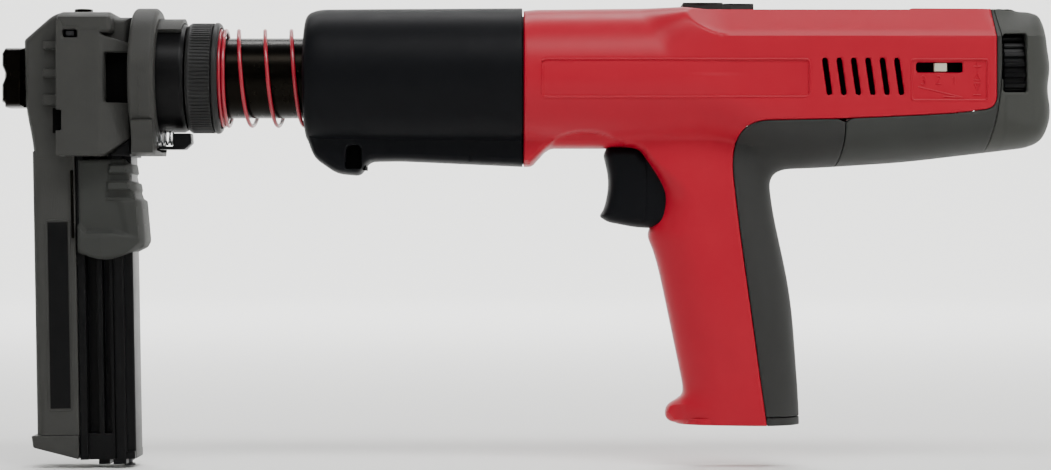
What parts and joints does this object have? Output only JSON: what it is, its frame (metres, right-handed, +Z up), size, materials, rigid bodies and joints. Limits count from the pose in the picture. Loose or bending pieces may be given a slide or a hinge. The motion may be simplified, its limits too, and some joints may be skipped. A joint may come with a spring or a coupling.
{
  "type": "powder-actuated nail gun",
  "caption": "Powder-actuated fastening tool with a pistol grip, a sprung nose that presses in, a power wheel at the tail and a swivelling nail magazine under the muzzle",
  "frame": {"origin": "under the middle of the tool, at the height of the magazine's foot", "axes": "X along the bore with the muzzle at -X and the tail at +X, Y across the tool, Z up; the bore axis is 150 mm above the origin"},
  "size_m": [0.4032, 0.054, 0.1788],
  "materials": {
    "red_shell": "fine satin texture, moulded red",
    "black_casing": "fine spark-eroded texture, black",
    "grip_rubber": "matte soft overmould, dark grey",
    "charcoal_plastic": "glass-filled moulding, charcoal grey",
    "black_plastic": "glass-filled moulding, black",
    "dark_steel": "blackened turned steel",
    "bright_steel": "bright turned or rolled steel",
    "red_spring": "spring wire with a red coating",
    "screw_steel": "black oxide screws",
    "buffer_elastomer": "polyurethane buffer",
    "indicator_plastic": "pale moulded pointer"
  },
  "bodies": {
    "housing": {"front_casing": "black_casing", "casing_screw_1": "screw_steel", "casing_screw_2": "screw_steel", "spring_seat": "dark_steel", "housing_left": "red_shell", "housing_right": "red_shell", "housing_screw_1": "screw_steel", "housing_screw_2": "screw_steel", "housing_screw_3": "screw_steel", "housing_screw_4": "screw_steel", "housing_screw_5": "screw_steel", "housing_screw_6": "screw_steel", "grip_back": "grip_rubber", "rear_lower_cover": "charcoal_plastic", "rear_cap": "charcoal_plastic", "cap_screw_1": "screw_steel", "cap_screw_2": "screw_steel", "cartridge_channel": "bright_steel", "strip_exit_guide": "black_plastic", "breech_block": "bright_steel", "striker_tube": "dark_steel", "striker_spring": "bright_steel", "pawl_pin": "bright_steel", "trigger_spring": "bright_steel", "regulator_spindle": "bright_steel", "contact_spring": "red_spring"},
    "nose": {"barrel_tube": "dark_steel", "adapter_sleeve": "dark_steel", "buffer_ring": "buffer_elastomer", "stop_ring": "bright_steel"},
    "ring": {"knurled_ring": "black_plastic"},
    "piston": {"piston": "bright_steel", "piston_ring_1": "bright_steel", "piston_ring_2": "bright_steel"},
    "magazine": {"magazine_collar": "black_plastic", "magazine_head": "charcoal_plastic", "head_screw_1": "screw_steel", "head_screw_2": "screw_steel", "head_screw_3": "screw_steel", "head_screw_4": "screw_steel", "head_stud": "dark_steel", "stop_latch": "bright_steel", "nosepiece": "dark_steel", "magazine_body": "charcoal_plastic", "magazine_rail": "black_plastic", "magazine_foot": "charcoal_plastic", "rail_screw": "screw_steel", "catch_spring": "bright_steel"},
    "catch": {"catch_button": "black_plastic"},
    "slider": {"magazine_slider": "charcoal_plastic", "nail_pusher": "bright_steel", "follower_spring": "bright_steel"},
    "trigger": {"trigger": "black_casing"},
    "striker": {"striker": "bright_steel"},
    "wheel": {"power_wheel": "charcoal_plastic"},
    "indicator": {"power_indicator": "indicator_plastic"},
    "pawl": {"feed_pawl": "bright_steel"}
  },
  "joints": [
    {"name": "nose_press", "type": "slide", "parent": "housing", "child": "nose", "axis": [1, 0, 0], "range_m": [0, 0.018], "stiffness_N_per_m": 1500, "springref_m": -0.02, "deforming": ["contact_spring"]},
    {"name": "ring_turn", "type": "hinge", "parent": "nose", "child": "ring", "pos_m": [-0.1235, 0, 0.15], "axis": [1, 0, 0], "continuous": true},
    {"name": "magazine_swivel", "type": "hinge", "parent": "nose", "child": "magazine", "pos_m": [-0.1457, 0, 0.15], "axis": [1, 0, 0], "range_deg": [-90, 90]},
    {"name": "piston_slide", "type": "slide", "parent": "nose", "child": "piston", "axis": [-1, 0, 0], "range_m": [0, 0.062]},
    {"name": "catch_slide", "type": "slide", "parent": "magazine", "child": "catch", "axis": [-1, 0, 0], "range_m": [0, 0.004], "stiffness_N_per_m": 700, "springref_m": -0.003, "deforming": ["catch_spring"]},
    {"name": "slider_pull", "type": "slide", "parent": "magazine", "child": "slider", "axis": [0.0175, 0, -0.9998], "range_m": [0, 0.066]},
    {"name": "trigger_pull", "type": "slide", "parent": "housing", "child": "trigger", "axis": [1, 0, 0], "range_m": [0, 0.007], "stiffness_N_per_m": 900, "springref_m": -0.005, "deforming": ["trigger_spring"]},
    {"name": "striker_slide", "type": "slide", "parent": "housing", "child": "striker", "axis": [1, 0, 0], "range_m": [0, 0.01], "stiffness_N_per_m": 1800, "springref_m": -0.004, "deforming": ["striker_spring"]},
    {"name": "wheel_turn", "type": "hinge", "parent": "housing", "child": "wheel", "pos_m": [0.1856, 0, 0.15], "axis": [1, 0, 0], "range_deg": [-360, 360]},
    {"name": "indicator_slide", "type": "slide", "parent": "housing", "child": "indicator", "axis": [1, 0, 0], "range_m": [-0.005, 0.005]},
    {"name": "pawl_swing", "type": "hinge", "parent": "housing", "child": "pawl", "pos_m": [0.058, 0, 0.128], "axis": [0, 1, 0], "range_deg": [-1, 11]}
  ],
  "couplings": [
    {"joint": "wheel_turn", "follows": "indicator_slide", "rad_per_m": 1250},
    {"joint": "pawl_swing", "follows": "nose_press", "rad_per_m": 9.6}
  ]
}
